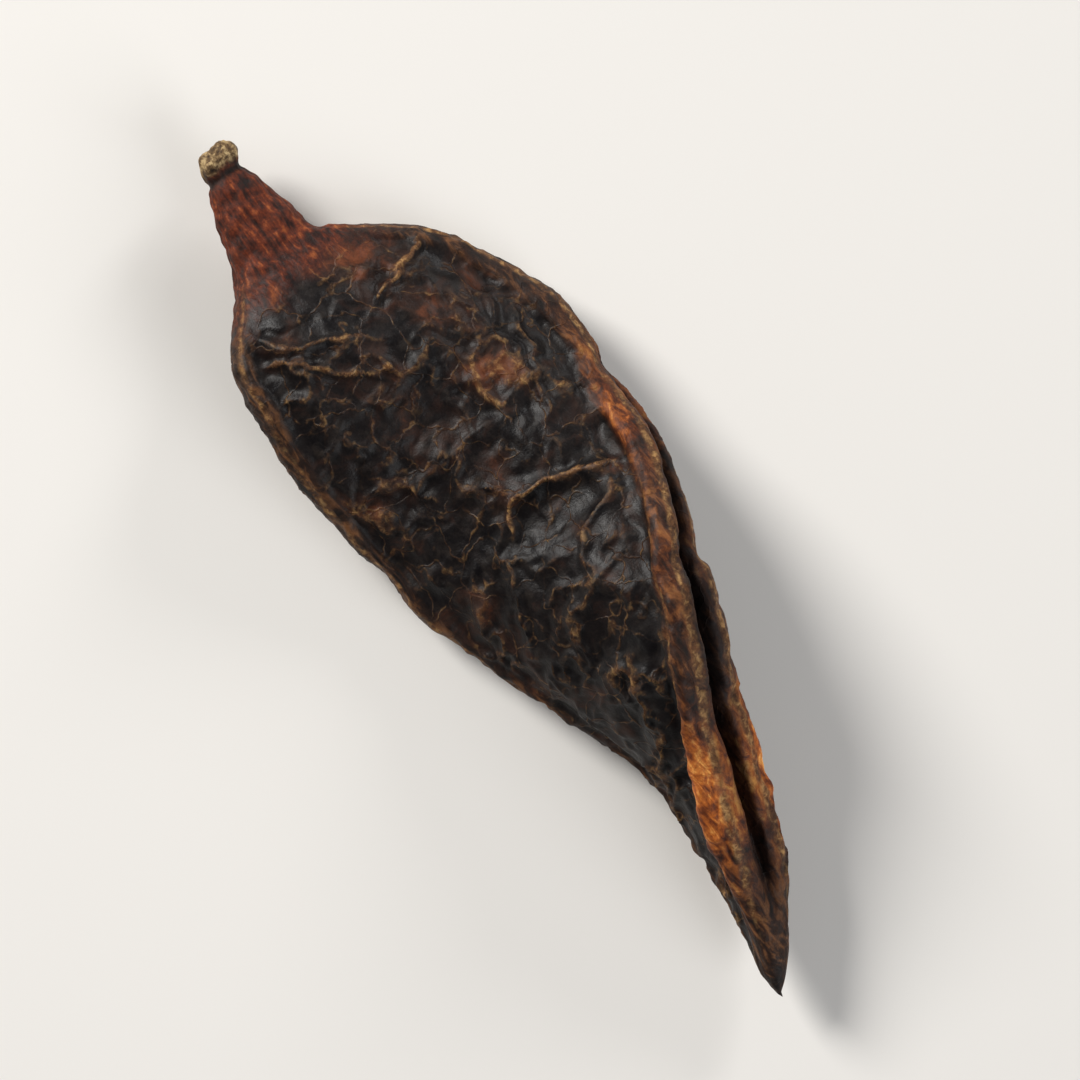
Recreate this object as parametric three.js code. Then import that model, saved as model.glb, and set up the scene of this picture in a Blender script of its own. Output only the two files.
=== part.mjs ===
// A dried shikakai pod, Senegalia rugata: a thick strap-shaped legume that grew as one piece.
//
// It lies on its flat side, as picked and dried. +X runs from the stalk's cut end to the beak,
// +Y is the side of the dorsal suture, the arched edge where the seeds hang, and +Z is up.
// The origin is at the middle of the pod's box, on the surface that it lies on.
// The pod is flat near the stalk and twists towards the beak, so that its dorsal edge rises
// and shows both lips of the suture with the open groove between them.
// Everything is in millimetres and degrees.

import * as THREE from "three";

// The pod's form, station by station from the cut end of the stalk to the point of the beak:
// x, the middle of the section across the pod, half its width from edge to edge, half the
// thickness of its two valves, its twist, and its clearance above the surface.
const STATIONS = [
  // x, middle, halfWidth, halfThickness, twist, clearance
  [0.0, -0.1, 1.15, 1.05, -14, 2.6],
  [0.9, -0.2, 1.3, 1.15, -14, 2.45],
  [1.7, -0.35, 1.2, 1.0, -14, 2.35],
  [3.2, -0.55, 1.75, 1.2, -14, 2.0],
  [5.5, -0.65, 2.35, 1.5, -14, 1.6],
  [7.4, -0.8, 3.0, 1.8, -14, 1.2],
  [8.7, -0.35, 4.5, 2.0, -14, 1.0],
  [10.3, 0.05, 6.4, 2.2, -14, 0.8],
  [12.0, 0.45, 7.9, 2.35, -14, 0.6],
  [14.5, 0.9, 8.9, 2.5, -13, 0.5],
  [18.0, 1.6, 9.6, 2.6, -8, 0.5],
  [22.0, 2.1, 9.75, 2.6, 0, 0.6],
  [26.0, 2.05, 9.5, 2.55, 9, 0.6],
  [30.0, 2.2, 9.4, 2.5, 18, 0.5],
  [34.0, 2.2, 8.6, 2.5, 29, 0.5],
  [38.0, 2.1, 7.7, 2.5, 40, 0.5],
  [42.0, 2.1, 6.2, 2.4, 50, 0.5],
  [46.0, 1.9, 4.5, 2.3, 58, 0.6],
  [50.0, 1.1, 3.3, 2.1, 64, 0.8],
  [53.5, 0.3, 2.5, 1.8, 66, 1.1],
  [56.5, -0.8, 1.8, 1.4, 67, 1.5],
  [59.0, -1.9, 1.2, 1.0, 68, 2.0],
  [60.8, -2.8, 0.5, 0.45, 68, 2.5],
];
const BEAK_POINT = 0.3; // how far the point stands past the last station

// The section: two valves that meet in a thick rib along each edge.
const STRAP_POWER = 0.8; // below 1 the section is a strap with round edges, at 1 an ellipse
const DORSAL_RIB = { at: 0.93, width: 0.07, height: 0.6 };
const VENTRAL_RIB = { at: -0.95, width: 0.06, height: 0.35 };
const DORSAL_HOLLOW = { at: 0.77, width: 0.13, depth: 0.3 }; // behind the dorsal rib
const VENTRAL_HOLLOW = { at: -0.84, width: 0.1, depth: 0.24 }; // behind the ventral rib
const NECK_END = 9; // the stalk has no hollows: they begin here
const NECK_FADE = 5;

// The suture's groove along the dorsal edge, between the two lips. It opens towards the beak.
const GROOVE_START = 12;
const GROOVE_OPEN = 40;
const GROOVE_END = 58;
const GROOVE_DEPTH = 2.1;
const GROOVE_HALF_GAP = 0.6;
const GAPE = 0.7; // how far each lip stands off from the other valve's where the suture is open

// Dents in the pod's two edges, which dried unevenly: [x, depth, half length].
const DORSAL_DENTS = [
  [24.6, 0.3, 1.5],
  [36.2, 0.5, 1.2],
  [45.2, 0.35, 1.4],
];
const VENTRAL_DENTS = [
  [14.8, 0.3, 1.3],
  [27.4, 0.35, 1.8],
  [38.6, 0.4, 1.6],
];

// Seeds lift both valves. Each is [x, y across the pod from the section's middle, height].
const SEEDS = [
  [16.5, 0.6, 0.75],
  [25.0, 0.9, 0.8],
  [33.5, 0.6, 0.75],
  [41.0, 0.2, 0.55],
];
const SEED_HALF_LENGTH = 3.6;
const SEED_HALF_WIDTH = 4.6;

// Folds of the dried skin, as lines of [x, y across the pod] with their height and half width.
// The first list is on the upper valve, and the second on the underside.
const FOLD_HEIGHT = 0.32;
const FOLD_HALF_WIDTH = 0.55;
const UPPER_FOLDS = [
  [[10.9, 7.6], [12.2, 4.9], [13.1, 2.3], [13.8, -0.7]],
  [[10.0, -6.0], [13.1, -4.5], [14.3, -1.9], [16.2, 1.9]],
  [[12.2, -7.6], [14.4, -5.0], [16.6, -2.9]],
  [[29.6, 6.6], [27.8, 3.2], [27.4, 0.7], [29.6, -1.6]],
  [[19.0, 3.2], [21.6, 0.9], [24.2, 1.7]],
];
const LOWER_FOLDS = [
  [[11.4, -6.4], [13.4, -2.6], [12.6, 1.4], [14.0, 6.2]],
  [[19.6, 8.4], [21.2, 4.2], [20.4, -0.6], [22.2, -5.2]],
  [[28.4, 7.4], [29.6, 2.6], [28.6, -2.2], [30.2, -6.6]],
  [[36.6, 6.2], [37.8, 1.8], [37.0, -2.8]],
];

// Where the pod meets the surface, its lowest skin is pressed flat by this much.
const PRESSED_FLAT = 0.3;

const RINGS = 84;
const RING_POINTS = 44;
const END_CROWDING = 0.35; // rings stand closer at the stalk and the beak than in the middle
const EDGE_CROWDING = 0.25; // points stand closer at the pod's edges than on its valves

const radians = THREE.MathUtils.degToRad;
const bell = (value, centre, width) => Math.exp(-(((value - centre) / width) ** 2));
const ramp = (value, from, to) => THREE.MathUtils.smoothstep(value, from, to);

// The station values at x, on a smooth curve through the stations.
function stationAt(x) {
  const last = STATIONS.length - 2;
  let i = 0;
  while (i < last && STATIONS[i + 1][0] < x) i += 1;
  const [before, from, to, after] = [i - 1, i, i + 1, i + 2].map(
    (n) => STATIONS[THREE.MathUtils.clamp(n, 0, last + 1)],
  );
  const span = to[0] - from[0];
  const t = (x - from[0]) / span;
  const values = from.map((value, k) => {
    const slopeIn = (span * (to[k] - before[k])) / (to[0] - before[0]);
    const slopeOut = (span * (after[k] - value)) / (after[0] - from[0]);
    return (
      (2 * t ** 3 - 3 * t ** 2 + 1) * value +
      (t ** 3 - 2 * t ** 2 + t) * slopeIn +
      (3 * t ** 2 - 2 * t ** 3) * to[k] +
      (t ** 3 - t ** 2) * slopeOut
    );
  });
  const [, middle, halfWidth, halfThickness, twist, clearance] = values;
  return { middle, halfWidth, halfThickness, twist: radians(twist), clearance };
}

// The distance from the point (x, y) to a line through points.
function distanceToLine(x, y, line) {
  const point = new THREE.Vector2(x, y);
  let nearest = Infinity;
  for (let i = 0; i + 1 < line.length; i += 1) {
    const start = new THREE.Vector2(...line[i]);
    const along = new THREE.Vector2(...line[i + 1]).sub(start);
    const share = THREE.MathUtils.clamp(
      point.clone().sub(start).dot(along) / along.lengthSq(),
      0,
      1,
    );
    nearest = Math.min(nearest, point.distanceTo(along.multiplyScalar(share).add(start)));
  }
  return nearest;
}

function seedLift(x, y) {
  return SEEDS.reduce(
    (lift, [seedX, seedY, height]) =>
      lift + height * bell(x, seedX, SEED_HALF_LENGTH) * bell(y, seedY, SEED_HALF_WIDTH),
    0,
  );
}

function foldLift(x, y, folds) {
  return folds.reduce(
    (lift, line) =>
      Math.max(lift, FOLD_HEIGHT * bell(distanceToLine(x, y, line), 0, FOLD_HALF_WIDTH)),
    0,
  );
}

// How deep an edge's dents are at x, as a share of the half width.
function dentShare(x, halfWidth, dents) {
  const depth = dents.reduce((sum, [dentX, most, half]) => sum + most * bell(x, dentX, half), 0);
  return depth / halfWidth;
}

// How far the suture has opened at x, from 0 to 1.
function opening(x) {
  return ramp(x, GROOVE_START, GROOVE_OPEN) * (1 - ramp(x, GROOVE_END - 5, GROOVE_END));
}

function grooveDepth(x, halfWidth) {
  const ends = ramp(x, GROOVE_START - 4, GROOVE_START) * (1 - ramp(x, GROOVE_END - 5, GROOVE_END));
  return Math.min(GROOVE_DEPTH, 0.4 * halfWidth) * (0.25 * ends + 0.75 * opening(x));
}

// The point of the pod's skin at x and at an angle round the section: 0 is the dorsal edge,
// 90 degrees the upper valve and 180 degrees the ventral edge.
function skinPoint(x, angle) {
  const { middle, halfWidth, halfThickness, twist, clearance } = stationAt(x);
  const [c, s] = [Math.cos(angle), Math.sin(angle)];
  const across = Math.sign(c) * Math.abs(c) ** STRAP_POWER;
  const side = Math.sign(Math.round(s * 1e6));
  const body = ramp(x, NECK_END, NECK_END + NECK_FADE);
  const hollow = [DORSAL_HOLLOW, VENTRAL_HOLLOW].reduce(
    (sum, { at, width, depth }) => sum + depth * bell(across, at, width),
    0,
  );
  const rib = [DORSAL_RIB, VENTRAL_RIB].reduce(
    (sum, { at, width, height }) => sum + height * bell(across, at, width),
    0,
  );
  const onValve = Math.abs(s);
  const folds = side > 0 ? UPPER_FOLDS : LOWER_FOLDS;
  const dent = dentShare(x, halfWidth, c > 0 ? DORSAL_DENTS : VENTRAL_DENTS);
  let y = halfWidth * across * (1 - dent * across ** 2);
  let z = halfThickness * onValve ** STRAP_POWER * (1 - body * hollow);
  z += body * rib * Math.sqrt(onValve) + onValve * (seedLift(x, y) + foldLift(x, y, folds));
  z += GAPE * opening(x) * ramp(across, 0.2, 0.9) * Math.sqrt(onValve);
  if (c > 0) y -= grooveDepth(x, halfWidth) * bell(z, 0, GROOVE_HALF_GAP);
  z *= side;
  const reach = Math.hypot(halfWidth * Math.sin(twist), halfThickness * Math.cos(twist));
  return new THREE.Vector3(
    x,
    middle + y * Math.cos(twist) - z * Math.sin(twist),
    clearance + reach + y * Math.sin(twist) + z * Math.cos(twist),
  );
}

// Lays the pod down: moves it so that the origin is at the middle of its box, on the surface,
// and presses its lowest skin flat there.
function layDown(points) {
  const box = new THREE.Box3().setFromPoints(points);
  const centre = box.getCenter(new THREE.Vector3());
  const shift = new THREE.Vector3(-centre.x, -centre.y, -(box.min.z + PRESSED_FLAT));
  points.forEach((point) => {
    point.add(shift);
    point.z = Math.max(point.z, 0);
  });
}

function podGeometry() {
  const length = STATIONS.at(-1)[0];
  const points = [];
  for (let ring = 0; ring < RINGS; ring += 1) {
    const share = ring / (RINGS - 1);
    const x = length * (share - (END_CROWDING * Math.sin(2 * Math.PI * share)) / (2 * Math.PI));
    for (let i = 0; i < RING_POINTS; i += 1) {
      const turn = (2 * Math.PI * i) / RING_POINTS;
      points.push(skinPoint(x, turn - EDGE_CROWDING * Math.sin(2 * turn)));
    }
  }
  const endStation = (x) => skinPoint(x, 0).add(skinPoint(x, Math.PI)).multiplyScalar(0.5);
  const cutEnd = points.push(endStation(0)) - 1;
  const beak = points.push(endStation(length).add(new THREE.Vector3(BEAK_POINT, 0, 0))) - 1;
  layDown(points);

  const faces = [];
  for (let i = 0; i < RING_POINTS; i += 1) {
    const next = (i + 1) % RING_POINTS;
    for (let ring = 0; ring + 1 < RINGS; ring += 1) {
      const [near, far] = [ring * RING_POINTS, (ring + 1) * RING_POINTS];
      faces.push(near + i, near + next, far + i, near + next, far + next, far + i);
    }
    const lastRing = (RINGS - 1) * RING_POINTS;
    faces.push(cutEnd, next, i, beak, lastRing + i, lastRing + next);
  }
  const geometry = new THREE.BufferGeometry().setFromPoints(points).setIndex(faces);
  geometry.computeVertexNormals();
  return geometry;
}

const driedSkin = new THREE.MeshStandardMaterial({
  color: new THREE.Color().setRGB(0.16, 0.09, 0.06, THREE.SRGBColorSpace),
  roughness: 0.6,
  metalness: 0,
});

const pod = new THREE.Mesh(podGeometry(), driedSkin);
pod.name = "pod";

const part = new THREE.Group();
part.add(pod);

export default part;
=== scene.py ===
# A dried shikakai pod, as it looks: the wrinkled skin over the CAD solid's form, its materials,
# a plain pale floor, soft studio light and a camera that looks down on it.
#
# The skin is built in millimetres, as a grid of rings along the pod, in the part's own frame:
# +X from the stalk's cut end to the beak, +Y the dorsal suture's side, +Z up. It is then fitted
# to the CAD node's box, in metres.

import itertools
import math

import bpy
import numpy as np
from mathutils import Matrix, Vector


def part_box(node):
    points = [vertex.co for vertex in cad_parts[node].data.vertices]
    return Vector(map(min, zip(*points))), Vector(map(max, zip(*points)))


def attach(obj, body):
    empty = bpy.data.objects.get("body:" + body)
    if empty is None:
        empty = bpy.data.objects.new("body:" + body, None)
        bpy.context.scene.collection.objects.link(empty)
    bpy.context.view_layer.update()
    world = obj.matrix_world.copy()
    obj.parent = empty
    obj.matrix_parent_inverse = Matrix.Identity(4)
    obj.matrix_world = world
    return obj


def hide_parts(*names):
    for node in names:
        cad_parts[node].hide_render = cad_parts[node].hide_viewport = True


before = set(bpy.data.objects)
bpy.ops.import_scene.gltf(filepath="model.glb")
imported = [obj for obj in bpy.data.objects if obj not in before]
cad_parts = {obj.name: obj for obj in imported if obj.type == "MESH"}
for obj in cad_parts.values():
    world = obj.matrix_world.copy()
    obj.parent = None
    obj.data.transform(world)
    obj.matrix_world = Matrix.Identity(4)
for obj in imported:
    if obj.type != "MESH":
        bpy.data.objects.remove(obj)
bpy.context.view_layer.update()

# --------------------------------------------------------------------------------------
# The pod's form, in millimetres and degrees
# --------------------------------------------------------------------------------------

# x, middle across the pod, half width, half thickness, twist, clearance above the surface
STATIONS = np.array(
    [
        [0.0, -0.1, 1.15, 1.05, -14, 2.6],
        [0.9, -0.2, 1.3, 1.15, -14, 2.45],
        [1.7, -0.35, 1.2, 1.0, -14, 2.35],
        [3.2, -0.55, 1.75, 1.2, -14, 2.0],
        [5.5, -0.65, 2.35, 1.5, -14, 1.6],
        [7.4, -0.8, 3.0, 1.8, -14, 1.2],
        [8.7, -0.35, 4.5, 2.0, -14, 1.0],
        [10.3, 0.05, 6.4, 2.2, -14, 0.8],
        [12.0, 0.45, 7.9, 2.35, -14, 0.6],
        [14.5, 0.9, 8.9, 2.5, -13, 0.5],
        [18.0, 1.6, 9.6, 2.6, -8, 0.5],
        [22.0, 2.1, 9.75, 2.6, 0, 0.6],
        [26.0, 2.05, 9.5, 2.55, 9, 0.6],
        [30.0, 2.2, 9.4, 2.5, 18, 0.5],
        [34.0, 2.2, 8.6, 2.5, 29, 0.5],
        [38.0, 2.1, 7.7, 2.5, 40, 0.5],
        [42.0, 2.1, 6.2, 2.4, 50, 0.5],
        [46.0, 1.9, 4.5, 2.3, 58, 0.6],
        [50.0, 1.1, 3.3, 2.1, 64, 0.8],
        [53.5, 0.3, 2.5, 1.8, 66, 1.1],
        [56.5, -0.8, 1.8, 1.4, 67, 1.5],
        [59.0, -1.9, 1.2, 1.0, 68, 2.0],
        [60.8, -2.8, 0.5, 0.45, 68, 2.5],
    ]
)
LENGTH = STATIONS[-1, 0]
BEAK_POINT = 0.3
STRAP_POWER = 0.8
PRESSED_FLAT = 0.3

# The ribs along both edges, and the hollows behind them, by their distance in from the edge
DORSAL_RIB = dict(inset=0.85, width=0.72, height=0.5)
FAR_LIP = dict(inset=0.6, width=0.5, height=0.4)  # the dorsal rib of the lower valve
VENTRAL_RIB = dict(inset=0.6, width=0.5, height=0.3)
DORSAL_HOLLOW = dict(inset=2.3, width=0.9, height=-0.5)
VENTRAL_HOLLOW = dict(inset=1.7, width=0.8, height=-0.36)
BODY_START = 9.0
BODY_FULL = 14.0
RIB_RISE = (12.0, 23.0)  # the dorsal rib grows from half its height to all of it over this x
BEAK_START = 52.0
BEAK_FULL = 58.5
KNOB_ROUND = 0.8  # how much of the knob's length its rounded end takes
TIP_ROUND = 2.4
BLUNT_END = 0.55  # the knob's cut face, as a share of the section behind it
SHARPEST_TIP = 0.985  # how far into its rounding the tip is cut short, before its point
# Half widths over which the hollows behind the ribs appear
HOLLOW_WIDTHS = (3.0, 6.0)
LIP_SHARES = (0.2, 0.9)  # shares across over which the open valves part

GROOVE_START = 12.0
GROOVE_OPEN = 38.0
GROOVE_CLOSE = 53.0
GROOVE_END = 58.0
GROOVE_DEPTH = 2.4
GROOVE_HALF_GAP = 0.42
GROOVE_SHUT = 0.25  # share of its depth where the suture is shut
GROOVE_LEAD = 4.0  # length over which the shut groove begins
GROOVE_LIMIT = 0.4  # the deepest groove, as a share of the half width
GAPE = 0.6

# Seeds lift both valves: x, y across the pod from the section's middle, height
SEEDS = [(16.5, 0.6, 0.75), (25.0, 0.9, 0.8), (33.5, 0.6, 0.75), (41.0, 0.2, 0.55)]
SEED_HALF_LENGTH = 3.6
SEED_HALF_WIDTH = 4.6

# Dents in the two edges: x, depth, half length
DORSAL_DENTS = [(24.6, 0.3, 1.5), (36.2, 0.5, 1.2), (45.2, 0.35, 1.4)]
VENTRAL_DENTS = [(14.8, 0.3, 1.3), (27.4, 0.35, 1.8), (38.6, 0.4, 1.6)]

# Creases of the skin that stand out from the rest: height, half width, then points x, y
UPPER_CREASES = [
    (0.5, 0.24, [(11.0, 7.4), (11.7, 6.0), (12.3, 4.7), (13.0, 2.4), (13.9, -0.6)]),
    (0.34, 0.36, [(9.9, -5.6), (11.8, -5.2), (13.1, -4.4), (14.3, -1.9), (16.2, 1.9)]),
    (0.38, 0.24, [(11.9, -7.4), (12.6, -5.9), (14.4, -4.6), (16.0, -2.6), (17.4, -0.6)]),
    (0.55, 0.26, [(30.2, 8.2), (29.3, 6.2), (27.9, 3.4), (27.5, 0.8), (29.0, -0.6), (30.6, -1.6)]),
    (0.3, 0.2, [(27.6, 1.6), (26.2, -0.6), (25.3, -2.4)]),
    (0.38, 0.3, [(18.7, 4.0), (19.4, 2.6), (21.1, 2.2), (22.4, 3.0), (22.7, 4.7)]),
    (0.25, 0.2, [(19.3, 2.8), (21.2, 1.0), (23.6, 0.2)]),
    (0.28, 0.24, [(22.9, 7.0), (22.2, 5.2), (20.6, 4.6)]),
    (0.22, 0.22, [(12.6, 4.2), (14.4, 4.6), (16.2, 3.9)]),
    (0.3, 0.22, [(33.4, 6.4), (34.6, 3.2), (33.2, 0.2), (34.2, -2.8)]),
    (0.25, 0.2, [(40.4, 4.4), (41.6, 1.6), (40.6, -1.8)]),
]
LOWER_CREASES = [
    (0.45, 0.3, [(11.4, -6.4), (13.4, -2.6), (12.6, 1.4), (11.6, 4.4)]),
    (0.3, 0.26, [(12.8, 0.6), (15.4, 2.2), (18.2, 1.4)]),
    (0.4, 0.28, [(19.2, 8.6), (21.6, 5.2), (23.4, 1.6), (27.2, 0.4)]),
    (0.28, 0.24, [(23.0, 2.2), (22.2, -1.2), (23.6, -4.2)]),
    (0.36, 0.28, [(32.8, -7.6), (30.4, -4.4), (29.8, -1.0), (32.4, 2.0), (33.0, 4.4)]),
    (0.3, 0.26, [(39.8, 4.0), (37.6, 1.4), (38.2, -1.8)]),
]
NUB = dict(x=16.8, y=-1.3, height=0.3, half=0.38)
LIP_SWELLING = dict(x=49.4, half_length=3.2, height=0.5)

# Where the skin is rusty rather than dark, on the upper valve: x, y, half width
RUSTY_PATCHES = [(15.6, 3.6, 1.5), (20.6, 3.0, 1.5), (10.2, 2.4, 1.6), (12.4, -5.0, 1.4)]
# Where the dorsal rib is golden: x, half length, strength
GOLDEN_STRETCHES = [(26.8, 4.2, 0.62), (36.5, 3.0, 0.3), (48.8, 4.6, 1.0)]

RINGS = 412
VALVE_POINTS = 114  # from the dorsal edge to the ventral edge of one valve
END_CROWDING = 0.3  # rings stand closer at the stalk and the beak than in the middle
CAP_RINGS = 8
CAP_DISH = 0.18  # how deep the stalk's cut end is dished
OUTLINE_STEPS = 900  # steps along half an outline when its points are spaced evenly

# Nets of creases: cells per mm along x, y and z, a shift of the noise, and what a distance in
# cells is divided by to measure it across the net's creases. Each net is strong in its patches.
LARGE_NET = dict(seed=21, cells=(0.2, 0.16, 0.3), shift=3.3, unit=0.18)
LARGE_PATCHES = dict(seed=22, scale=0.2, shift=5.0, fade=(-0.2, 0.3))
MIDDLE_NET = dict(seed=31, cells=(0.42, 0.27, 0.42), shift=9.1, unit=0.34)
MIDDLE_PATCHES = dict(seed=32, scale=0.3, shift=2.0, fade=(-0.05, 0.4))
FINE_NET = dict(seed=41, cells=(1.0, 0.7, 1.0), shift=1.7, unit=0.85)
FINE_PATCHES = dict(seed=42, scale=0.35, shift=8.0, fade=(-0.1, 0.5))
FOLD_POWER = 1.35  # below 2, a fold's crest is sharper than a bell's

# Heights of the valves' relief
ROLL_HEIGHT = 0.42
LARGE_HEIGHT = 0.3
SUNK_DEPTH = 0.3
MIDDLE_HEIGHT = 0.15
DIMPLE_DEPTH = 0.1
FINE_HEIGHT = 0.07
BASE_HEIGHT = 0.05

# Times that the relief is blurred to find what is hollow, which gets painted shade, and what is
# proud in it
BLURS = 24
HOLLOW_GAIN = 4.0
PROUD_GAIN = 3.0

# Colours as they appear on a screen, from 0 to 255: place on a ramp, then the colour
SKIN_COLOURS = [(0.4, (10, 7, 8)), (0.5, (19, 13, 12)), (0.6, (44, 25, 17)), (0.7, (92, 48, 26))]
RIB_COLOURS = [(0.36, (17, 11, 9)), (0.5, (46, 27, 17)), (0.63, (108, 70, 41))]
GOLD_COLOURS = [
    (0.38, (48, 22, 11)),
    (0.46, (108, 50, 19)),
    (0.54, (178, 96, 36)),
    (0.62, (230, 158, 78)),
]
STALK_COLOURS = [
    (0.37, (17, 8, 6)),
    (0.45, (50, 20, 11)),
    (0.54, (96, 40, 19)),
    (0.65, (172, 94, 46)),
]
KNOB_COLOURS = [(0.36, (40, 28, 18)), (0.48, (96, 73, 46)), (0.62, (182, 156, 112))]
VEIN_COLOURS = [(0.36, (56, 34, 20)), (0.5, (106, 70, 39)), (0.64, (172, 132, 82))]
# Painted shade in the dip behind the knob
COLLAR_SHADE_COLOUR = (26, 18, 15)
# Painted shade in the relief's hollows
HOLLOW_SHADE_COLOUR = (10, 7, 7)
# Painted shade inside the open dorsal groove
GROOVE_SHADE_COLOUR = (12, 8, 8)
DUST_COLOUR = (140, 122, 104)
FLOOR_COLOUR = (226, 223, 218)
FLOOR_ROUGHNESS = 0.85


def bell(value, centre, width):
    return np.exp(-(((value - centre) / width) ** 2))


def ramp(value, start, end):
    share = np.clip((value - start) / (end - start), 0, 1)
    return share * share * (3 - 2 * share)


def stations_at(x):
    """Middle, half width, half thickness, twist in radians and clearance at each x."""
    places, values = STATIONS[:, 0], STATIONS[:, 1:]
    order = np.arange(len(places))
    before, after = np.maximum(order - 1, 0), np.minimum(order + 1, len(places) - 1)
    slopes = (values[after] - values[before]) / (places[after] - places[before])[:, None]
    i = np.clip(np.searchsorted(places, x, side="left") - 1, 0, len(places) - 2)
    span = places[i + 1] - places[i]
    t = ((x - places[i]) / span)[..., None]
    span = span[..., None]
    found = (
        (2 * t**3 - 3 * t**2 + 1) * values[i]
        + (t**3 - 2 * t**2 + t) * slopes[i] * span
        + (3 * t**2 - 2 * t**3) * values[i + 1]
        + (t**3 - t**2) * slopes[i + 1] * span
    )
    middle, half_width, half_thickness, twist, clearance = np.moveaxis(found, -1, 0)
    return middle, half_width, half_thickness, np.radians(twist), clearance


def dents(x, table):
    return sum(depth * bell(x, place, half) for place, depth, half in table)


def opening(x):
    """How far the dorsal suture has opened at x, from 0 to 1."""
    return ramp(x, GROOVE_START, GROOVE_OPEN) * (1 - ramp(x, GROOVE_CLOSE, GROOVE_END))


def edge_part(inset, part):
    return part["height"] * bell(inset, part["inset"], part["width"])


def section(x, angle):
    """The pod's plain form at x and an angle round the section, before its twist.

    Angle 0 is the dorsal edge, 90 degrees the upper valve and 180 the ventral edge.
    Returns y, z and the share across.
    """
    _, half_width, half_thickness, _, _ = stations_at(x)
    c, s = np.cos(angle), np.sin(angle)
    across = np.sign(c) * np.abs(c) ** STRAP_POWER
    on_valve = np.abs(s)
    body = ramp(x, BODY_START, BODY_FULL)
    dent = np.where(c > 0, dents(x, DORSAL_DENTS), dents(x, VENTRAL_DENTS)) / half_width
    y = half_width * across * (1 - dent * across**2)
    inset = half_width * (1 - np.abs(across))
    rise = 0.5 + 0.5 * ramp(x, *RIB_RISE)
    wide = ramp(half_width, *HOLLOW_WIDTHS)
    lip = np.where(s > 0, edge_part(inset, DORSAL_RIB), edge_part(inset, FAR_LIP))
    dorsal = rise * lip + wide * edge_part(inset, DORSAL_HOLLOW)
    ventral = edge_part(inset, VENTRAL_RIB) + wide * edge_part(inset, VENTRAL_HOLLOW)
    edges = np.where(across > 0, dorsal, ventral) * (1 - 0.8 * ramp(x, BEAK_START, BEAK_FULL))
    seeds = sum(
        height * bell(x, seed_x, SEED_HALF_LENGTH) * bell(y, seed_y, SEED_HALF_WIDTH)
        for seed_x, seed_y, height in SEEDS
    )
    z = half_thickness * on_valve**STRAP_POWER
    z = z + body * edges * np.sqrt(on_valve) + on_valve * seeds
    z = z + GAPE * opening(x) * ramp(across, *LIP_SHARES) * np.sqrt(on_valve)
    ends = ramp(x, GROOVE_START - GROOVE_LEAD, GROOVE_START)
    ends = ends * (1 - ramp(x, GROOVE_CLOSE, GROOVE_END))
    deep = np.minimum(GROOVE_DEPTH, GROOVE_LIMIT * half_width)
    deep = deep * (GROOVE_SHUT * ends + (1 - GROOVE_SHUT) * opening(x))
    y = y - np.where(c > 0, deep * bell(z, 0, GROOVE_HALF_GAP), 0)
    knob_end = np.sqrt(1 - (1 - np.clip(x / KNOB_ROUND, 0, 1)) ** 2)
    tip_end = np.sqrt(1 - np.clip((x - LENGTH + TIP_ROUND) / TIP_ROUND, 0, SHARPEST_TIP) ** 2)
    size = (BLUNT_END + (1 - BLUNT_END) * knob_end) * tip_end
    return size * y, size * z * np.sign(np.round(s, 6)), across


def turned(x, y, z):
    """Points of the section turned by the pod's twist and raised above the surface."""
    middle, half_width, half_thickness, twist, clearance = stations_at(x)
    reach = np.hypot(half_width * np.sin(twist), half_thickness * np.cos(twist))
    return np.stack(
        [
            x + 0 * y,
            middle + y * np.cos(twist) - z * np.sin(twist),
            clearance + reach + y * np.sin(twist) + z * np.cos(twist),
        ],
        axis=-1,
    )


def even_angles(x):
    """Angles round each ring that stand evenly along its outline, dorsal edge first."""
    fine = np.linspace(0, math.pi, OUTLINE_STEPS)
    rings = []
    for side in (1, -1):
        y, z, _ = section(x[:, None], side * fine[None, :])
        step = np.hypot(np.diff(y, axis=1), np.diff(z, axis=1))
        run = np.concatenate([np.zeros((len(x), 1)), np.cumsum(step, axis=1)], axis=1)
        share = np.linspace(0, 1, VALVE_POINTS + 1)
        rings.append(np.array([np.interp(share * r[-1], r, fine) for r in run]))
    upper, lower = rings
    return np.concatenate([upper[:, :-1], 2 * math.pi - lower[:, :0:-1]], axis=1)


# --------------------------------------------------------------------------------------
# Repeatable noise
# --------------------------------------------------------------------------------------


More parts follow.
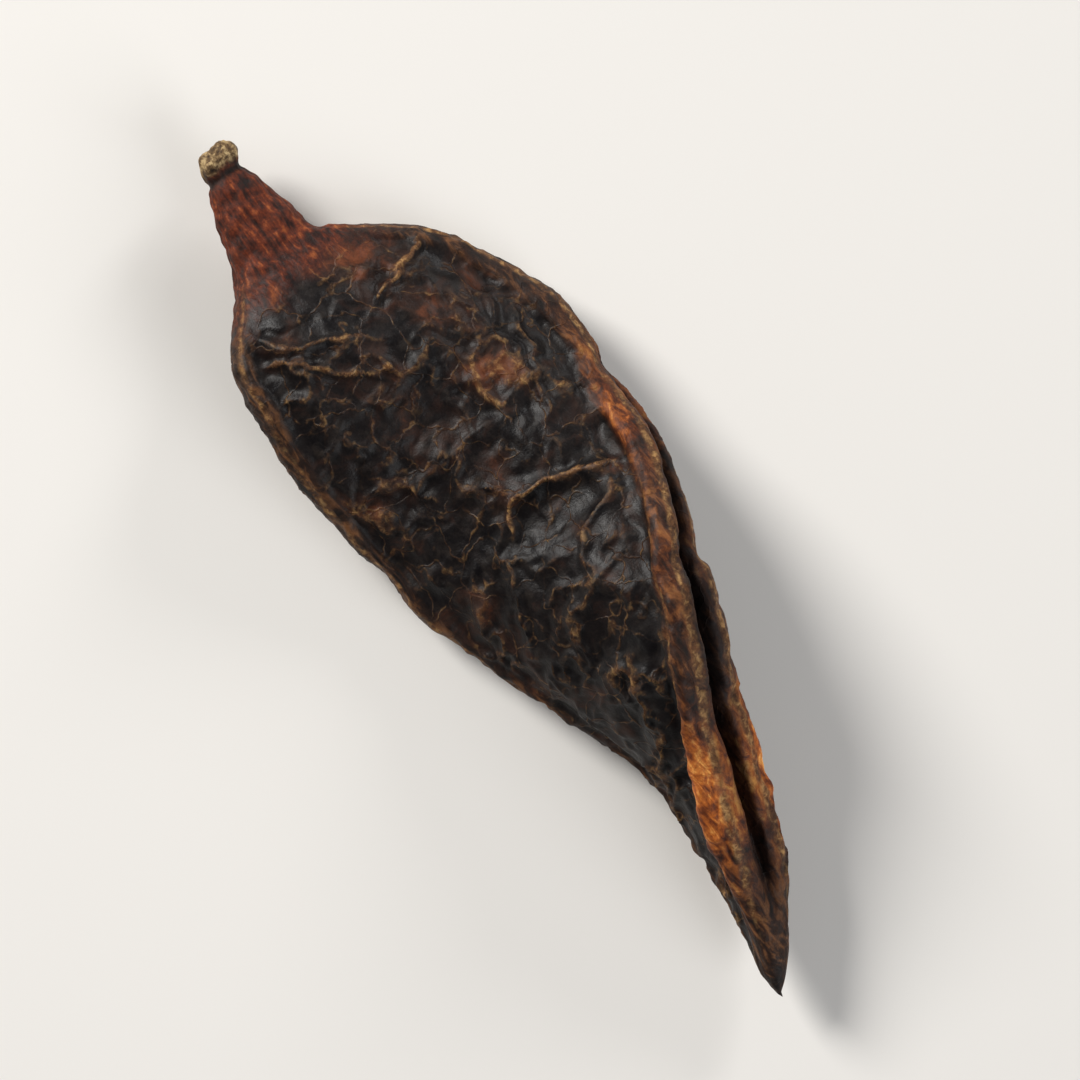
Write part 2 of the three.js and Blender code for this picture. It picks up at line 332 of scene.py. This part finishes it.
class Grain:
    """Smooth noise and a net of cells in three dimensions, the same on every run."""

    JITTER = 0.92  # how far each cell's point strays from its middle

    def __init__(self, seed):
        source = np.random.RandomState(seed)
        self.table = np.tile(source.permutation(256), 2)
        slopes = source.normal(size=(256, 3))
        self.slopes = slopes / np.linalg.norm(slopes, axis=1)[:, None]
        self.spots = source.uniform(size=(256, 3))

    def cell(self, i):
        i = i & 255
        return self.table[self.table[self.table[i[..., 0]] + i[..., 1]] + i[..., 2]]

    def at(self, p):
        """Smooth noise at each point, about -1 to 1."""
        i = np.floor(p).astype(np.int64)
        f = p - i
        ease = f**3 * (f * (f * 6 - 15) + 10)
        total = np.zeros(p.shape[:-1])
        for corner in itertools.product((0, 1), repeat=3):
            corner = np.array(corner)
            weight = np.prod(np.where(corner == 1, ease, 1 - ease), axis=-1)
            total += weight * np.sum(self.slopes[self.cell(i + corner)] * (f - corner), axis=-1)
        return 1.7 * total

    def layers(self, p, count, gain=0.5):
        total, weight, reach = 0, 1.0, 0.0
        for layer in range(count):
            total = total + weight * self.at(p * 2.03**layer + 17.7 * layer)
            reach += weight
            weight *= gain
        return total / reach

    def borders(self, p):
        """Distance to the nearest border between cells."""
        i = np.floor(p).astype(np.int64)
        f = p - i
        away = []
        for corner in itertools.product((-1, 0, 1), repeat=3):
            corner = np.array(corner)
            spot = self.spots[self.cell(i + corner)]
            away.append(corner + 0.5 + self.JITTER * (spot - 0.5) - f)
        away = np.stack(away).astype(np.float32)
        nearest = np.sum(away**2, axis=-1).argmin(axis=0)
        pick = np.arange(len(p))
        near = away[nearest, pick]
        apart = away - near
        length = np.linalg.norm(apart, axis=-1)
        length[nearest, pick] = 1
        distance = np.sum(0.5 * (away + near) * apart, axis=-1) / length
        distance[nearest, pick] = np.inf
        return distance.min(axis=0).astype(float)


def distance_to_line(x, y, line):
    """Distance to a line through points, and how far along it the nearest point is."""
    nearest, along = np.full(x.shape, np.inf), np.zeros(x.shape)
    for k, (start, end) in enumerate(zip(line, line[1:])):
        (x0, y0), (x1, y1) = start, end
        dx, dy = x1 - x0, y1 - y0
        share = np.clip(((x - x0) * dx + (y - y0) * dy) / (dx * dx + dy * dy), 0, 1)
        far = np.hypot(x - x0 - share * dx, y - y0 - share * dy)
        along = np.where(far < nearest, k + share, along)
        nearest = np.minimum(nearest, far)
    return nearest, along / (len(line) - 1)


# --------------------------------------------------------------------------------------
# The skin's relief
# --------------------------------------------------------------------------------------


def fold(distance, half_width):
    """The height of a pinched fold of skin, a sharp crest, at a distance from its line."""
    return np.exp(-((np.abs(distance) / half_width) ** FOLD_POWER))


def net_distance(points, seed, cells, shift, unit):
    """Distance to a net's nearest crease, in the net's own unit."""
    return Grain(seed).borders(points * list(cells) + shift) / unit


def patch_strength(points, seed, scale, shift, fade):
    """How strong a net is at each point, from 0 to 1."""
    return ramp(Grain(seed).layers(points * scale + shift, 2), *fade)


def relief(x, y, z, across):
    """Height of the skin's wrinkles over the plain form, in millimetres, and its looks."""
    shape = x.shape
    p = np.stack([x, y, z], axis=-1).reshape(-1, 3)
    x, y, z, across = (a.reshape(-1) for a in (x, y, z, across))
    upper = z > 0

    body = ramp(x, 8.5, 12.5)
    beak = ramp(x, BEAK_START, BEAK_FULL)
    inset = stations_at(x)[1] * (1 - np.abs(across))
    lip_width = np.where(upper, 1.3, 0.95)
    dorsal = np.where(across > 0, 1 - ramp(inset, lip_width, lip_width + 0.6), 0) * body
    ventral = np.where(across < 0, 1 - ramp(inset, 0.7, 1.3), 0) * body
    rib = np.maximum(dorsal, ventral)
    valve = body * (1 - rib)
    inside_groove = ramp(across, 0.6, 0.75) * opening(x) * bell(z, 0, 1.0)

    wander = Grain(11)
    bend = np.stack([wander.layers(p * 0.24 + 31.0 * k, 3) for k in range(3)], axis=-1)
    bent = p + 2.4 * bend
    kink = np.stack([Grain(12).at(p * 0.9 + 13.0 * k) for k in range(3)], axis=-1)
    bent = bent + 0.35 * kink

    # The large net: thin raised creases round smooth sunken facets.
    far = net_distance(bent, **LARGE_NET)
    strength = patch_strength(p, **LARGE_PATCHES)
    large = fold(far, 0.24) * (0.15 + 0.85 * strength)
    sunk = ramp(far, 0.0, 2.0)

    # The middle net: shorter creases that run mostly across the pod.
    far = net_distance(bent, **MIDDLE_NET)
    strength = patch_strength(p, **MIDDLE_PATCHES)
    middle = fold(far, 0.18) * strength
    dimple = ramp(far, 0.0, 0.9) * strength

    # The fine net: a faint crinkle of the dried skin.
    far = net_distance(p + 0.7 * bend + 0.4 * kink, **FINE_NET)
    strength = patch_strength(p, **FINE_PATCHES)
    fine = fold(far, 0.14) * strength

    # Creases that stand out, which wander a little from their lines.
    strayed_x = x + 0.45 * Grain(51).at(p * 0.55) + 0.12 * Grain(52).at(p * 1.5)
    strayed_y = y + 0.45 * Grain(53).at(p * 0.55) + 0.12 * Grain(54).at(p * 1.5)
    uneven = 1 + 0.45 * Grain(55).at(p * 0.8)
    creases = np.zeros(len(x))
    crease_mark = np.zeros(len(x))
    for side, table in ((upper, UPPER_CREASES), (~upper, LOWER_CREASES)):
        for height, half_width, line in table:
            far, along = distance_to_line(strayed_x, strayed_y, line)
            fade = 0.12 + 0.88 * ramp(np.minimum(along, 1 - along), 0.0, 0.28)
            taper = half_width * uneven * (0.45 + 0.55 * fade)
            raised = np.where(side, fade * fold(far, taper), 0)
            creases = np.maximum(creases, height * raised)
            crease_mark = np.maximum(crease_mark, raised * min(1, height / 0.45))
    near_crease = np.clip(creases / 0.3, 0, 1)
    nub = np.where(upper, bell(np.hypot(x - NUB["x"], y - NUB["y"]), 0, NUB["half"]), 0)

    # The ribs are warty and pitted, ripple along their length and have cords of fibre.
    warts = Grain(61).layers(p * [0.5, 0.7, 0.7], 3)
    ripple = Grain(62).at(p * [0.23, 0.08, 0.08])
    far = Grain(63).borders((p + 0.9 * kink) * [0.42, 0.85, 0.85])
    pits = fold(far / 0.7, 0.16) * ramp(Grain(64).at(p * 0.5), -0.2, 0.3)
    cords = 1 - 2.4 * np.abs(Grain(65).layers((p + 0.5 * kink) * [0.14, 0.75, 0.75], 2))
    rib_relief = 0.15 * warts + 0.2 * ripple + 0.09 * pits + 0.15 * cords
    rib_relief = rib_relief + 0.06 * Grain(66).layers(p * [1.3, 1.9, 1.9], 2) - 0.06
    crinkle = Grain(67).layers(p * [0.55, 0.2, 0.2] + 3.0, 2)
    rib_relief = rib_relief + np.where(upper, 0.1, 0.3) * crinkle * opening(x)
    lip = np.where(upper, bell(x, LIP_SWELLING["x"], LIP_SWELLING["half_length"]), 0)
    rib_relief = rib_relief + LIP_SWELLING["height"] * lip * ramp(across, 0.3, 0.7)

    # The stalk's fibres run along it.
    fibre = Grain(71).layers(p * [0.16, 1.3, 1.3], 3, 0.6)
    fibre_lines = 1 - np.abs(Grain(72).layers(p * [0.1, 1.0, 1.0] + 4, 2)) * 2.2
    stalk = 1 - ramp(x + 1.2 * Grain(75).at(p * 0.5), 7.0, 11.0)
    knob = 1 - ramp(x + 0.25 * Grain(76).at(p * 1.2), 1.2, 1.6)
    collar = bell(x, 1.8, 0.3)
    stalk_relief = 0.13 * fibre + 0.1 * fibre_lines + 0.2 * Grain(73).layers(p * 0.8, 2)

    roll = Grain(81).layers(p * [0.15, 0.13, 0.2] + 6.0, 2)
    height = valve * (
        ROLL_HEIGHT * roll
        + LARGE_HEIGHT * large * (1 - 0.6 * near_crease)
        - SUNK_DEPTH * sunk
        + MIDDLE_HEIGHT * middle * (1 - 0.5 * near_crease)
        - DIMPLE_DEPTH * dimple
        + FINE_HEIGHT * fine
        + NUB["height"] * nub
        + BASE_HEIGHT
    )
    height += (valve + 0.4 * rib) * creases
    height += rib * rib_relief + 0.06 * rib * middle
    height += stalk * (1 - 0.5 * knob) * stalk_relief * (1 - body * 0.7)
    height += -0.2 * collar + knob * 0.16 * Grain(74).layers(p * 1.3, 2)
    height *= 1 - 0.8 * inside_groove
    height *= 1 - 0.5 * beak

    vein = valve * np.maximum.reduce([large, 0.8 * middle, 0.5 * fine])
    vein = np.maximum(vein, crease_mark * (1 - 0.5 * rib))
    # A pale line along each lip's crest, partly wear and partly a painted highlight
    rim = bell(inset, 0.5 - 0.26 * opening(x), 0.19 - 0.05 * opening(x))
    seam = 0.75 * bell(inset, lip_width + 0.1, 0.13) * ramp(x, 27.0, 34.0)
    edge = np.where(across > 0, np.maximum(rim, seam), 0.7 * bell(inset, 0.4, 0.2))
    edge *= ramp(x, 7.0, 8.5) * (1 - 0.7 * beak)
    golden = sum(much * bell(x, at, half) for at, half, much in GOLDEN_STRETCHES) * dorsal
    rusty = sum(
        bell(np.hypot(x - at_x, y - at_y), 0, half) for at_x, at_y, half in RUSTY_PATCHES
    )
    looks = {
        "vein": np.clip(vein, 0, 1),
        "crease": np.maximum(crease_mark * (1 - 0.6 * rib), nub * valve),
        # Pale lip lines: partly wear, partly a painted highlight
        "edge": edge,
        "rib": rib,
        "golden": np.clip(golden, 0, 1),
        "rusty": np.where(upper, np.clip(rusty, 0, 1), 0),
        "stalk": stalk,
        "knob": knob,
        # The collar mark darkens the dip behind the knob with painted shade
        "collar": collar * (x < 3.2),
        # Painted shade inside the open groove
        "groove_shade": np.clip(inside_groove * 1.3, 0, 1),
    }
    return height.reshape(shape), {k: v.reshape(shape) for k, v in looks.items()}


def grid_normals(points):
    """Outward normals of a grid of closed rings."""
    along = np.gradient(points, axis=0)
    around = 0.5 * (np.roll(points, -1, axis=1) - np.roll(points, 1, axis=1))
    normal = np.cross(along, around)
    return normal / np.maximum(np.linalg.norm(normal, axis=-1, keepdims=True), 1e-9)


def blurred(grid, times):
    """A grid of closed rings, with each value softened by its neighbours'."""
    for _ in range(times):
        grid = 0.5 * grid + 0.25 * (np.roll(grid, 1, axis=1) + np.roll(grid, -1, axis=1))
        padded = np.concatenate([grid[:1], grid, grid[-1:]])
        grid = 0.5 * grid + 0.25 * (padded[:-2] + padded[2:])
    return grid


def pod_grid():
    """The skin's points, ring by ring, and its looks at each point."""
    share = np.linspace(0, 1, RINGS)
    x = LENGTH * (share - END_CROWDING * np.sin(2 * math.pi * share) / (2 * math.pi))
    angles = even_angles(x)
    x = x[:, None] + 0 * angles
    y, z, across = section(x, angles)
    plain = turned(x, y, z)
    normals = grid_normals(plain)
    outward = np.sum((plain - plain.mean(axis=1, keepdims=True)) * normals)
    normals *= np.sign(outward)
    height, looks = relief(x, y, z, across)
    around = blurred(height, BLURS)
    # The relief's hollows get painted shade: a near-black colour is mixed in where the skin is
    # sunk.
    looks["hollow"] = np.clip((around - height) * HOLLOW_GAIN, 0, 1)
    looks["proud"] = np.clip((height - around) * PROUD_GAIN, 0, 1)
    return plain + normals * height[..., None], looks


def cap(ring):
    """Rings that close the stalk's cut end, dished a little, from its rim inwards."""
    centre = ring.mean(axis=0)
    rings = []
    for k in range(1, CAP_RINGS + 1):
        share = 1 - k / (CAP_RINGS + 0.6)
        rough = 0.05 * Grain(91).at(np.stack([0 * ring[:, 0], ring[:, 1], ring[:, 2]], -1) * 2 + k)
        inner = centre + (ring - centre) * share
        inner[:, 0] += CAP_DISH * (1 - share**2) + rough * share
        rings.append(inner)
    return rings


def build_pod():
    """The pod's mesh, fitted to the CAD node's box, with its looks as attributes."""
    points, looks = pod_grid()
    count = points.shape[1]
    end_rings = cap(points[0])
    end_middle = end_rings[-1].mean(axis=0)
    tip = points[-1].mean(axis=0) + [BEAK_POINT, 0, 0]
    skin = points.reshape(-1, 3)
    every = np.concatenate([skin, *end_rings, [end_middle], [tip]])

    low, high = every.min(axis=0), every.max(axis=0)
    every[:, 2] = np.maximum(every[:, 2] - (low[2] + PRESSED_FLAT), 0)
    low, high = every.min(axis=0), every.max(axis=0)
    box_low, box_high = (np.array(corner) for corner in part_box("pod"))
    every = box_low + (every - low) / (high - low) * (box_high - box_low)

    faces = []
    around = np.arange(count)
    onward = (around + 1) % count
    for ring in range(RINGS - 1):
        near, far = ring * count, (ring + 1) * count
        faces.append(np.stack([near + around, near + onward, far + onward, far + around], 1))
    start = len(skin)
    bases = [0] + [start + k * count for k in range(CAP_RINGS)]
    for near, far in zip(bases, bases[1:]):
        faces.append(np.stack([near + around, far + around, far + onward, near + onward], 1))
    quads = np.concatenate(faces).tolist()
    middle = start + CAP_RINGS * count
    last = (RINGS - 1) * count
    inner = bases[-1]
    fans = [(int(inner + a), middle, int(inner + b)) for a, b in zip(around, onward)]
    fans += [(int(last + a), int(last + b), middle + 1) for a, b in zip(around, onward)]

    mesh = bpy.data.meshes.new("pod_skin")
    mesh.from_pydata(every.tolist(), [], quads + fans)
    mesh.update()
    extra = CAP_RINGS * count + 2
    cut = np.concatenate([np.zeros(len(skin)), np.ones(extra)])
    cut[-1] = 0
    for name, grid in looks.items():
        values = np.concatenate([grid.reshape(-1), np.full(extra, grid[0].mean())])
        values[-1] = grid[-1].mean()
        mesh.attributes.new(name, "FLOAT", "POINT").data.foreach_set("value", values)
    mesh.attributes.new("cut", "FLOAT", "POINT").data.foreach_set("value", cut)
    mesh.polygons.foreach_set("use_smooth", [True] * len(mesh.polygons))
    mesh.validate()
    pod = bpy.data.objects.new("pod_skin", mesh)
    bpy.context.collection.objects.link(pod)
    return pod


# --------------------------------------------------------------------------------------
# Materials
# --------------------------------------------------------------------------------------


class Shading:
    """A material's nodes, each made in one call that sets or links its inputs."""

    def __init__(self, name):
        self.material = bpy.data.materials.new(name)
        self.material.use_nodes = True
        self.tree = self.material.node_tree
        self.tree.nodes.clear()

    def node(self, kind, inputs=None, **settings):
        made = self.tree.nodes.new("ShaderNode" + kind)
        for key, value in settings.items():
            setattr(made, key, value)
        for key, value in (inputs or {}).items():
            if isinstance(value, bpy.types.NodeSocket):
                self.tree.links.new(value, made.inputs[key])
            else:
                made.inputs[key].default_value = value
        return made

    def mask(self, name):
        return self.node("Attribute", attribute_name=name).outputs["Fac"]

    def math(self, operation, *values):
        return self.node("Math", dict(enumerate(values)), operation=operation).outputs[0]

    def noise(self, vector, scale, detail, roughness, distortion=0.0):
        inputs = {
            "Vector": vector,
            "Scale": scale,
            "Detail": detail,
            "Roughness": roughness,
            "Distortion": distortion,
        }
        return self.node("TexNoise", inputs).outputs["Fac"]

    def stretched(self, vector, scales):
        return self.node("VectorMath", {0: vector, 1: scales}, operation="MULTIPLY").outputs[0]

    def ramp(self, value, stops):
        made = self.node("ValToRGB", {"Fac": value})
        elements = made.color_ramp.elements
        while len(elements) < len(stops):
            elements.new(1.0)
        for element, (place, colour) in zip(elements, stops):
            element.position = place
            element.color = screen_colour(*colour)
        return made.outputs["Color"]

    def level(self, value, low, high, to_low=0.0, to_high=1.0):
        inputs = {0: value, 1: low, 2: high, 3: to_low, 4: to_high}
        return self.node("MapRange", inputs, clamp=True).outputs[0]

    def mix(self, share, first, second, blend="MIX"):
        made = self.node("Mix", data_type="RGBA", blend_type=blend)
        for socket, value in zip((0, 6, 7), (share, first, second)):
            if isinstance(value, bpy.types.NodeSocket):
                self.tree.links.new(value, made.inputs[socket])
            else:
                made.inputs[socket].default_value = value
        return made.outputs[2]


def screen_colour(red, green, blue):
    """A colour given as it appears on a screen, from 0 to 255, in the renderer's linear numbers."""
    shares = [c / 255 for c in (red, green, blue)]
    linear = [c / 12.92 if c <= 0.04045 else ((c + 0.055) / 1.055) ** 2.4 for c in shares]
    return (*linear, 1.0)


def pod_material():
    s = Shading("dried_pod_skin")
    place = s.node("TexCoord").outputs["Object"]
    mm = s.node("VectorMath", {0: place, "Scale": 1000.0}, operation="SCALE").outputs[0]
    vein, crease, edge = s.mask("vein"), s.mask("crease"), s.mask("edge")
    rib, golden, rusty = s.mask("rib"), s.mask("golden"), s.mask("rusty")
    stalk, knob, cut = s.mask("stalk"), s.mask("knob"), s.mask("cut")
    hollow, proud, groove_shade = s.mask("hollow"), s.mask("proud"), s.mask("groove_shade")
    collar = s.mask("collar")

    broad = s.noise(mm, 0.2, 3.0, 0.6, 0.6)
    patches = s.noise(mm, 0.6, 5.0, 0.6, 0.9)
    mottle = s.noise(mm, 2.0, 5.0, 0.65, 0.4)
    grain = s.noise(mm, 8.0, 4.0, 0.6)
    dust_noise = s.noise(mm, 1.1, 7.0, 0.72, 0.5)
    along = s.stretched(mm, (0.09, 1.3, 1.3))
    fibre = s.noise(along, 2.0, 5.0, 0.6, 0.4)
    streak = s.noise(s.stretched(mm, (0.3, 1.0, 1.0)), 1.5, 6.0, 0.62, 0.7)

    # Hairline wrinkles, which wander.
    bent = s.node("TexNoise", {"Vector": mm, "Scale": 0.34, "Detail": 3.0}).outputs["Color"]
    bent = s.node("VectorMath", {0: bent, "Scale": 4.2}, operation="SCALE").outputs[0]
    bent = s.node("VectorMath", {0: mm, 1: bent}, operation="ADD").outputs[0]
    net = s.node("TexVoronoi", {"Vector": bent, "Scale": 0.42}, feature="DISTANCE_TO_EDGE")
    hairline = s.level(net.outputs["Distance"], 0.0, 0.04, 1.0, 0.0)

    # The valves: near black and smooth between their creases, red-brown in places.
    tone = s.math("ADD", s.math("MULTIPLY", broad, 0.5), s.math("MULTIPLY", patches, 0.5))
    tone = s.math("ADD", tone, s.math("MULTIPLY", rusty, 0.14))
    skin = s.ramp(tone, SKIN_COLOURS)
    rib_dark = s.ramp(streak, RIB_COLOURS)
    gold_tone = s.math("ADD", s.math("MULTIPLY", streak, 0.6), s.math("MULTIPLY", patches, 0.4))
    gold_tone = s.math("ADD", gold_tone, s.level(golden, 0.5, 1.0, -0.03, 0.05))
    rib_gold = s.ramp(gold_tone, GOLD_COLOURS)
    weathered = s.math("ADD", s.math("MULTIPLY", patches, 0.5), s.math("MULTIPLY", mottle, 0.5))
    stalk_tone = s.math("MULTIPLY", fibre, 0.45)
    stalk_tone = s.math("ADD", stalk_tone, s.math("MULTIPLY", weathered, 0.55))
    stalk_skin = s.ramp(stalk_tone, STALK_COLOURS)
    knob_skin = s.ramp(mottle, KNOB_COLOURS)
    vein_skin = s.ramp(mottle, VEIN_COLOURS)

    # The creases, the ribs, the stalk and the knob, each over what is under it.
    hair = s.math("MULTIPLY", hairline, s.level(patches, 0.42, 0.56, 0.1, 1.0))
    hair = s.math("MULTIPLY", hair, s.math("SUBTRACT", 1.0, stalk))
    raised = s.level(s.math("MULTIPLY", vein, s.level(patches, 0.4, 0.6, 0.45, 1.0)), 0.3, 0.85)
    look = s.mix(s.math("MULTIPLY", raised, 0.48), skin, vein_skin)
    look = s.mix(s.math("MULTIPLY", hair, 0.36), look, vein_skin)
    look = s.mix(s.level(crease, 0.5, 0.9, 0.0, 0.85), look, vein_skin)
    look = s.mix(s.math("MULTIPLY", rib, 0.85), look, rib_dark)
    gilded = s.math("MULTIPLY", golden, s.level(broad, 0.36, 0.5, 0.6, 1.0))
    look = s.mix(gilded, look, rib_gold)
    # Pale lines along the lips' crests and the ribs' edges: partly wear, partly a painted highlight
    edge_wear_and_highlight = s.math("MULTIPLY", s.level(edge, 0.25, 0.8), s.level(patches, 0.38, 0.52, 0.35, 0.95))
    look = s.mix(edge_wear_and_highlight, look, vein_skin)
    look = s.mix(stalk, look, stalk_skin)
    look = s.mix(knob, look, knob_skin)
    # Painted shade in the dip behind the knob
    look = s.mix(s.math("MULTIPLY", collar, 0.9), look, screen_colour(*COLLAR_SHADE_COLOUR))
    # Painted shade: the hollows of the relief are darkened
    look = s.mix(s.math("MULTIPLY", hollow, 0.7), look, screen_colour(*HOLLOW_SHADE_COLOUR))
    # Painted shade: the inside of the open groove is darkened near black
    look = s.mix(s.math("MULTIPLY", groove_shade, 0.9), look, screen_colour(*GROOVE_SHADE_COLOUR))
    dusty = s.math("MULTIPLY", s.level(dust_noise, 0.5, 0.7), s.level(proud, 0.0, 0.6, 0.3, 1.0))
    look = s.mix(s.math("MULTIPLY", dusty, 0.1), look, screen_colour(*DUST_COLOUR))
    look = s.mix(cut, look, knob_skin)
    look = s.mix(1.0, look, s.level(grain, 0.3, 0.7, 0.82, 1.18), "MULTIPLY")

    # The creases, ribs, stalk and dust are rougher than the facets.
    rough = s.math("ADD", s.level(patches, 0.35, 0.65, 0.38, 0.52), s.math("MULTIPLY", vein, 0.12))
    rough = s.math("ADD", rough, s.math("MULTIPLY", rib, 0.12))
    rough = s.math("ADD", rough, s.math("MULTIPLY", stalk, 0.16))
    rough = s.math("ADD", rough, s.math("MULTIPLY", dusty, 0.2))
    rough = s.math("ADD", rough, s.level(grain, 0.3, 0.7, -0.04, 0.04))

    # The finest relief.
    cells = s.node("TexVoronoi", {"Vector": mm, "Scale": 3.2}, feature="SMOOTH_F1")
    height = s.math("MULTIPLY", mottle, 0.32)
    height = s.math("ADD", height, s.math("MULTIPLY", grain, 0.16))
    height = s.math("ADD", height, s.math("MULTIPLY", cells.outputs["Distance"], 0.14))
    height = s.math("ADD", height, s.math("MULTIPLY", hair, 0.3))
    height = s.math("ADD", height, s.math("MULTIPLY", s.math("MULTIPLY", streak, rib), 0.8))
    height = s.math("ADD", height, s.math("MULTIPLY", s.math("MULTIPLY", fibre, stalk), 0.9))
    bump = s.node("Bump", {"Strength": 0.7, "Distance": 0.00014, "Height": height})

    shader = s.node(
        "BsdfPrincipled",
        {
            "Base Color": look,
            "Roughness": rough,
            "Specular IOR Level": 0.21,
            "Normal": bump.outputs["Normal"],
        },
    )
    s.node("OutputMaterial", {"Surface": shader.outputs["BSDF"]})
    return s.material


def floor_material():
    s = Shading("pale_floor")
    shader = s.node(
        "BsdfPrincipled",
        {"Base Color": screen_colour(*FLOOR_COLOUR), "Roughness": FLOOR_ROUGHNESS},
    )
    s.node("OutputMaterial", {"Surface": shader.outputs["BSDF"]})
    return s.material


# --------------------------------------------------------------------------------------
# The pod
# --------------------------------------------------------------------------------------

pod = build_pod()
pod.data.materials.append(pod_material())
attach(pod, "root")
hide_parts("pod")

# --------------------------------------------------------------------------------------
# Floor, light and camera
# --------------------------------------------------------------------------------------

box_low, box_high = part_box("pod")
centre = (box_low + box_high) / 2
length = (box_high - box_low).x

FLOOR_HALF = 20 * length
floor_mesh = bpy.data.meshes.new("floor")
corners = [
    (across * FLOOR_HALF, along * FLOOR_HALF, 0)
    for across, along in ((-1, -1), (1, -1), (1, 1), (-1, 1))
]
floor_mesh.from_pydata(corners, [], [(0, 1, 2, 3)])
floor = bpy.data.objects.new("floor", floor_mesh)
floor.location.z = box_low.z
bpy.context.collection.objects.link(floor)
floor.data.materials.append(floor_material())

# The stalk points to the picture's upper left, and the beak to its lower right.
ROLL = math.radians(53.5)
image_right = Vector((math.cos(ROLL), math.sin(ROLL), 0))
image_up = Vector((-math.sin(ROLL), math.cos(ROLL), 0))

CAMERA_HEIGHT = 0.6
VIEW_WIDTH = 1.05 * length
SENSOR_WIDTH = 36
camera_data = bpy.data.cameras.new("camera")
camera_data.sensor_width = SENSOR_WIDTH
camera_data.lens = SENSOR_WIDTH * CAMERA_HEIGHT / VIEW_WIDTH
camera = bpy.data.objects.new("camera", camera_data)
camera.location = centre + Vector((0, 0, CAMERA_HEIGHT))
camera.rotation_euler = (0, 0, ROLL)
bpy.context.collection.objects.link(camera)
bpy.context.scene.camera = camera


# Name, then right, up and above the pod in metres, then diameter, power and tint
SOFTBOXES = [
    ("key_light", -0.42, 0.34, 0.34, 0.26, 5.2, (1.0, 0.98, 0.95)),
    ("fill_light", 0.5, -0.34, 0.36, 0.5, 2.6, (0.97, 0.98, 1.0)),
    ("rim_light", 0.36, 0.5, 0.25, 0.2, 1.6, (1.0, 1.0, 1.0)),
]
AMBIENT_COLOUR = (0.9, 0.93, 1.0, 1.0)
AMBIENT_STRENGTH = 0.12


def softbox(name, right, up, height, size, power, tint):
    """An area light placed by the picture's own right and up, aimed at the pod."""
    data = bpy.data.lights.new(name, "AREA")
    data.shape = "DISK"
    data.size = size
    data.energy = power
    data.color = tint
    light = bpy.data.objects.new(name, data)
    light.location = centre + image_right * right + image_up * up + Vector((0, 0, height))
    light.rotation_euler = (centre - light.location).to_track_quat("-Z", "Y").to_euler()
    bpy.context.collection.objects.link(light)


for row in SOFTBOXES:
    softbox(*row)

world = bpy.data.worlds.new("studio")
world.use_nodes = True
background = world.node_tree.nodes["Background"]
background.inputs["Color"].default_value = AMBIENT_COLOUR
background.inputs["Strength"].default_value = AMBIENT_STRENGTH
bpy.context.scene.world = world
bpy.context.scene.view_settings.view_transform = "Standard"
